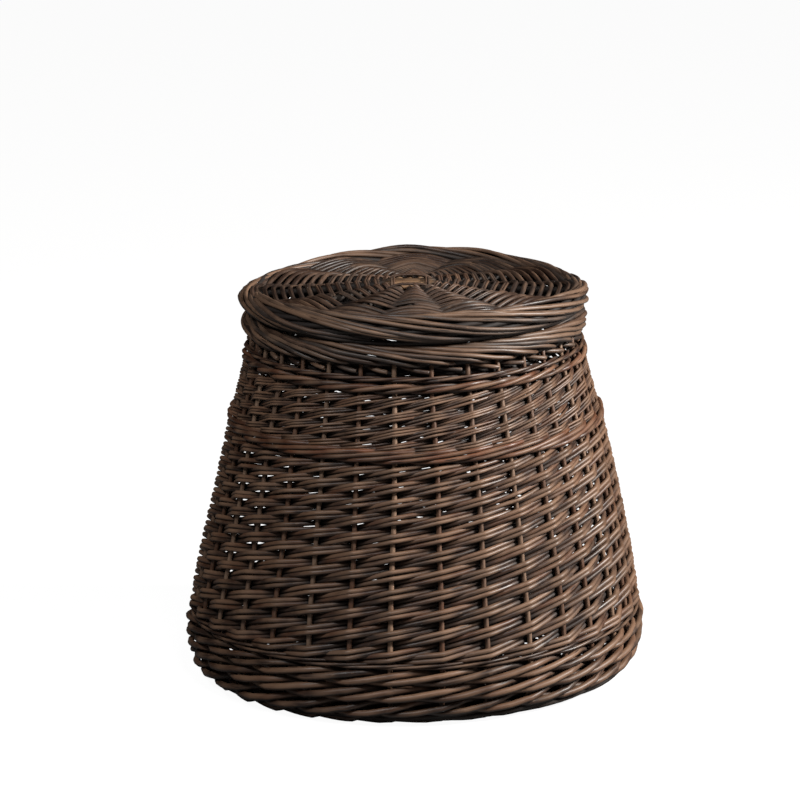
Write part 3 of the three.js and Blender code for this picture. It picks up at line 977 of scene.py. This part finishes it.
def discRods(disc, weave):
    # two sets of rods chase each other: where one goes over an arm, the other goes under it
    rods = []
    width, lanes = weave["width"], weave["lanes"]
    step = fullTurn / disc["arms"]
    period = width * lanes * 2
    crossings = int((weave["to"] - weave["from"] - period / 2) / period * disc["arms"])
    for chase in (0, 1):
        for lane in range(lanes):
            first = 0
            while first < crossings:
                last = min(first + dice.randint(2, 4) * disc["arms"] + dice.randint(0, 5), crossings)
                if crossings - last < disc["arms"]:
                    last = crossings
                seed = dice.random() * 50
                thick = width * weave["fat"] * dice.uniform(*discWay["thick"])
                points, sunk = [], []
                for at in bends(first, last, weave["shares"]):
                    within = (at - math.floor(at) - 0.5) * step
                    reach = weave["from"] + (chase * lanes + lane + 0.5) * width + period * at / disc["arms"]
                    reach += wander(seed, at * 0.5, discWay["wander"])
                    chord = reach * math.cos(step / 2) / math.cos(within)
                    straight = mix(*weave["straight"], clamp((reach - weave["from"]) / discWay["settle"]))
                    reach = mix(reach, chord, straight)
                    proud = zigzag(at + chase, weave["soft"])
                    lift = proud * (stickRadius(disc, reach) + thick / 2 - discWay["sink"])
                    points.append(place(at * step, reach, discHeight(disc, reach) + lift))
                    # painted shade where a rod passes under an arm
                    sunk.append(clamp(0.5 - proud * 0.7))
                rods.append(rod(points, thick, sunk=sunk))
                first = last
    return rods


layCross(lid)
layCross(base)
centreRods = bindingRods(lid) + discRods(lid, lid["inner"])
laidRods("lidCentreWeave", centreRods, lidWillow, "lid", ["lid_centre_weave"])
outerRods = discRods(lid, lid["outer"])
laidRods("lidOuterWeave", outerRods, lidWillow, "lid", ["lid_outer_weave"])
baseRods = bindingRods(base) + discRods(base, base["inner"])
laidRods("baseWeave", baseRods, weaveWillow, "basket", ["base_weave"])
print("flat weaves laid")


# Studio

# floor is its grey under the lamps, glow and backdrop are how white it and the air look to the camera,
# sky is the light that the air gives; sizes are metres and powers are watts
studio = {"floor": 0.2, "size": 12, "level": -0.0004, "glow": 0.95, "backdrop": 1.0, "sky": 0.015}
lampAim = (0, 0, 0.2)
lamps = {
    "keyLight": {"where": (2.22, -0.5, 1.48), "size": 0.45, "power": 90, "colour": (1.0, 0.965, 0.92)},
    "frontLight": {"where": (0.29, -1.64, 2.2), "size": 0.5, "power": 12, "colour": (1, 1, 1)},
    "fillLight": {"where": (-1.2, -1.4, 2.05), "size": 0.45, "power": 15, "colour": (1, 1, 1)},
}
# angles in degrees
view = {"lens": 10.88, "where": (0, -4.436, 1.4006), "yaw": 0.16, "down": 14.0, "roll": -0.7}


def plainStage(name, size, height):
    bm = bmesh.new()
    bmesh.ops.create_grid(bm, x_segments=2, y_segments=2, size=size)
    mesh = bpy.data.meshes.new(name)
    bm.to_mesh(mesh)
    bm.free()
    mesh.transform(Matrix.Translation((0, 0, height)))
    stage = bpy.data.objects.new(name, mesh)
    bpy.context.scene.collection.objects.link(stage)
    return stage


floor = plainStage("floor", studio["size"], studio["level"])
floorWhite = bpy.data.materials.new("floorWhite")
floorWhite.use_nodes = True
tree = floorWhite.node_tree
shader = tree.nodes["Principled BSDF"]
shader.inputs["Base Color"].default_value = (studio["floor"],) * 3 + (1,)
shader.inputs["Roughness"].default_value = 0.9
shader.inputs["Specular IOR Level"].default_value = 0.1
ray = tree.nodes.new("ShaderNodeLightPath")
glow = tree.nodes.new("ShaderNodeMath")
glow.operation = "MULTIPLY"
glow.inputs[1].default_value = studio["glow"]
link(tree, ray.outputs["Is Camera Ray"], glow.inputs[0])
shader.inputs["Emission Color"].default_value = (1, 1, 1, 1)
link(tree, glow.outputs[0], shader.inputs["Emission Strength"])
floor.data.materials.append(floorWhite)

world = bpy.data.worlds.new("studioAir")
bpy.context.scene.world = world
world.use_nodes = True
tree = world.node_tree
background = tree.nodes["Background"]
background.inputs["Color"].default_value = (1, 1, 1, 1)
ray = tree.nodes.new("ShaderNodeLightPath")
strength = tree.nodes.new("ShaderNodeMapRange")
strength.inputs["To Min"].default_value = studio["sky"]
strength.inputs["To Max"].default_value = studio["backdrop"]
link(tree, ray.outputs["Is Camera Ray"], strength.inputs["Value"])
link(tree, strength.outputs["Result"], background.inputs["Strength"])


def softLight(name, lamp):
    data = bpy.data.lights.new(name, "AREA")
    data.shape = "SQUARE"
    data.size = lamp["size"]
    data.energy = lamp["power"]
    data.color = lamp["colour"]
    light = bpy.data.objects.new(name, data)
    light.location = lamp["where"]
    light.rotation_euler = (Vector(lampAim) - Vector(lamp["where"])).to_track_quat("-Z", "Y").to_euler()
    bpy.context.scene.collection.objects.link(light)


for name, lamp in lamps.items():
    softLight(name, lamp)

camera = bpy.data.objects.new("camera", bpy.data.cameras.new("camera"))
camera.data.sensor_fit = "HORIZONTAL"
camera.data.angle = math.radians(view["lens"])
camera.location = view["where"]
turns = ((view["yaw"], "Z"), (90 - view["down"], "X"), (view["roll"], "Z"))
yaw, tilt, roll = (Matrix.Rotation(math.radians(angle), 3, axis) for angle, axis in turns)
camera.rotation_euler = (yaw @ tilt @ roll).to_euler()
bpy.context.scene.collection.objects.link(camera)
bpy.context.scene.camera = camera
bpy.context.scene.view_settings.view_transform = "Standard"

bpy.context.view_layer.update()
print("scene ready")
